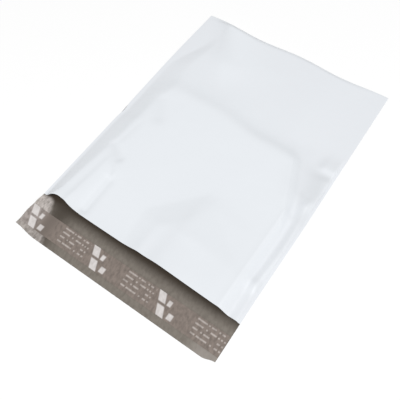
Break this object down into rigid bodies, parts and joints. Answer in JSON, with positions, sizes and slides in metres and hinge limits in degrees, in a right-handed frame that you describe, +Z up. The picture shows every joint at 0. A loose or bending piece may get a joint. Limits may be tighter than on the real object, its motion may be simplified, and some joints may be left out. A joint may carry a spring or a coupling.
{
  "type": "poly mailer bag",
  "caption": "Flat side-welded plastic film mailing bag, mouth open and front panel raised, with a spread self-seal flap that carries an adhesive strip and its release liner.",
  "frame": {"origin": "on the surface the bag lies on, under the middle of the whole bag with its flap spread out", "axes": "+Y along the bag from the flap towards the closed end, +Z up through the front panel, +X to the right when looking along +Y"},
  "size_m": [0.2566, 0.3751, 0.0132],
  "materials": {
    "film": "satin",
    "adhesive": "gloss",
    "liner": "satin"
  },
  "bodies": {
    "root": {"film_bag": "film", "adhesive_strip": "adhesive", "release_liner": "liner"}
  },
  "joints": []
}
